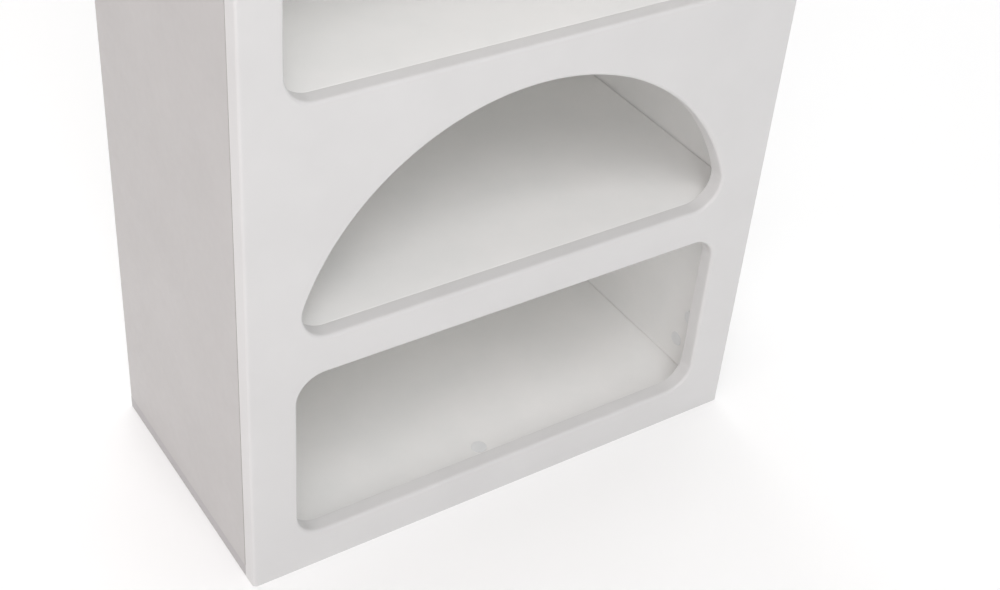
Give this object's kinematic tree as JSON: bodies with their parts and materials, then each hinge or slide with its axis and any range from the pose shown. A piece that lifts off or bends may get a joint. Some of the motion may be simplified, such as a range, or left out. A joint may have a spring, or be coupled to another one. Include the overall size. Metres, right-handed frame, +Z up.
{
  "type": "bookcase",
  "caption": "Tall flat-pack bookcase: a routed one-piece front with rounded and arched openings on a board carcass with fixed shelves.",
  "frame": {"origin": "centre of the footprint, on the floor that the bookcase stands on", "axes": "+X to the right when facing the front, +Y from the front to the wall behind, +Z up"},
  "size_m": [0.6, 0.31, 1.305],
  "materials": {
    "frame_wrap": "white satin vinyl wrap over routed MDF",
    "carcass_melamine": "white melamine faced particleboard with banded edges",
    "back_board": "white painted hardboard",
    "joint_strip": "white extruded PVC",
    "cam_zinc": "die-cast zinc, dull",
    "bolt_steel": "bright zinc-plated steel",
    "dowel_beech": "plain beech",
    "cap_plastic": "moulded matt plastic"
  },
  "bodies": {
    "root": {"back_joining_strip": "joint_strip", "back_panel_lower": "back_board", "back_panel_upper": "back_board", "bottom_panel": "carcass_melamine", "bottom_panel_cam": "cam_zinc", "bottom_panel_cam_bolts": "bolt_steel", "bottom_panel_cover_cap": "cap_plastic", "bottom_panel_dowels": "dowel_beech", "front_frame": "frame_wrap", "front_frame_cam_bolts": "bolt_steel", "front_frame_dowels": "dowel_beech", "left_side_cam_bolts": "bolt_steel", "left_side_cams": "cam_zinc", "left_side_cover_caps": "cap_plastic", "left_side_dowels": "dowel_beech", "left_side_panel": "carcass_melamine", "right_side_cam_bolts": "bolt_steel", "right_side_cams": "cam_zinc", "right_side_cover_caps": "cap_plastic", "right_side_dowels": "dowel_beech", "right_side_panel": "carcass_melamine", "shelf_1": "carcass_melamine", "shelf_1_cams": "cam_zinc", "shelf_1_cover_caps": "cap_plastic", "shelf_2": "carcass_melamine", "shelf_2_cams": "cam_zinc", "shelf_2_cover_caps": "cap_plastic", "shelf_3": "carcass_melamine", "shelf_3_cams": "cam_zinc", "shelf_3_cover_caps": "cap_plastic", "shelf_4": "carcass_melamine", "shelf_4_cams": "cam_zinc", "shelf_4_cover_caps": "cap_plastic", "top_panel": "carcass_melamine", "top_panel_cam": "cam_zinc", "top_panel_cam_bolts": "bolt_steel", "top_panel_cover_cap": "cap_plastic", "top_panel_dowels": "dowel_beech"}
  },
  "joints": []
}
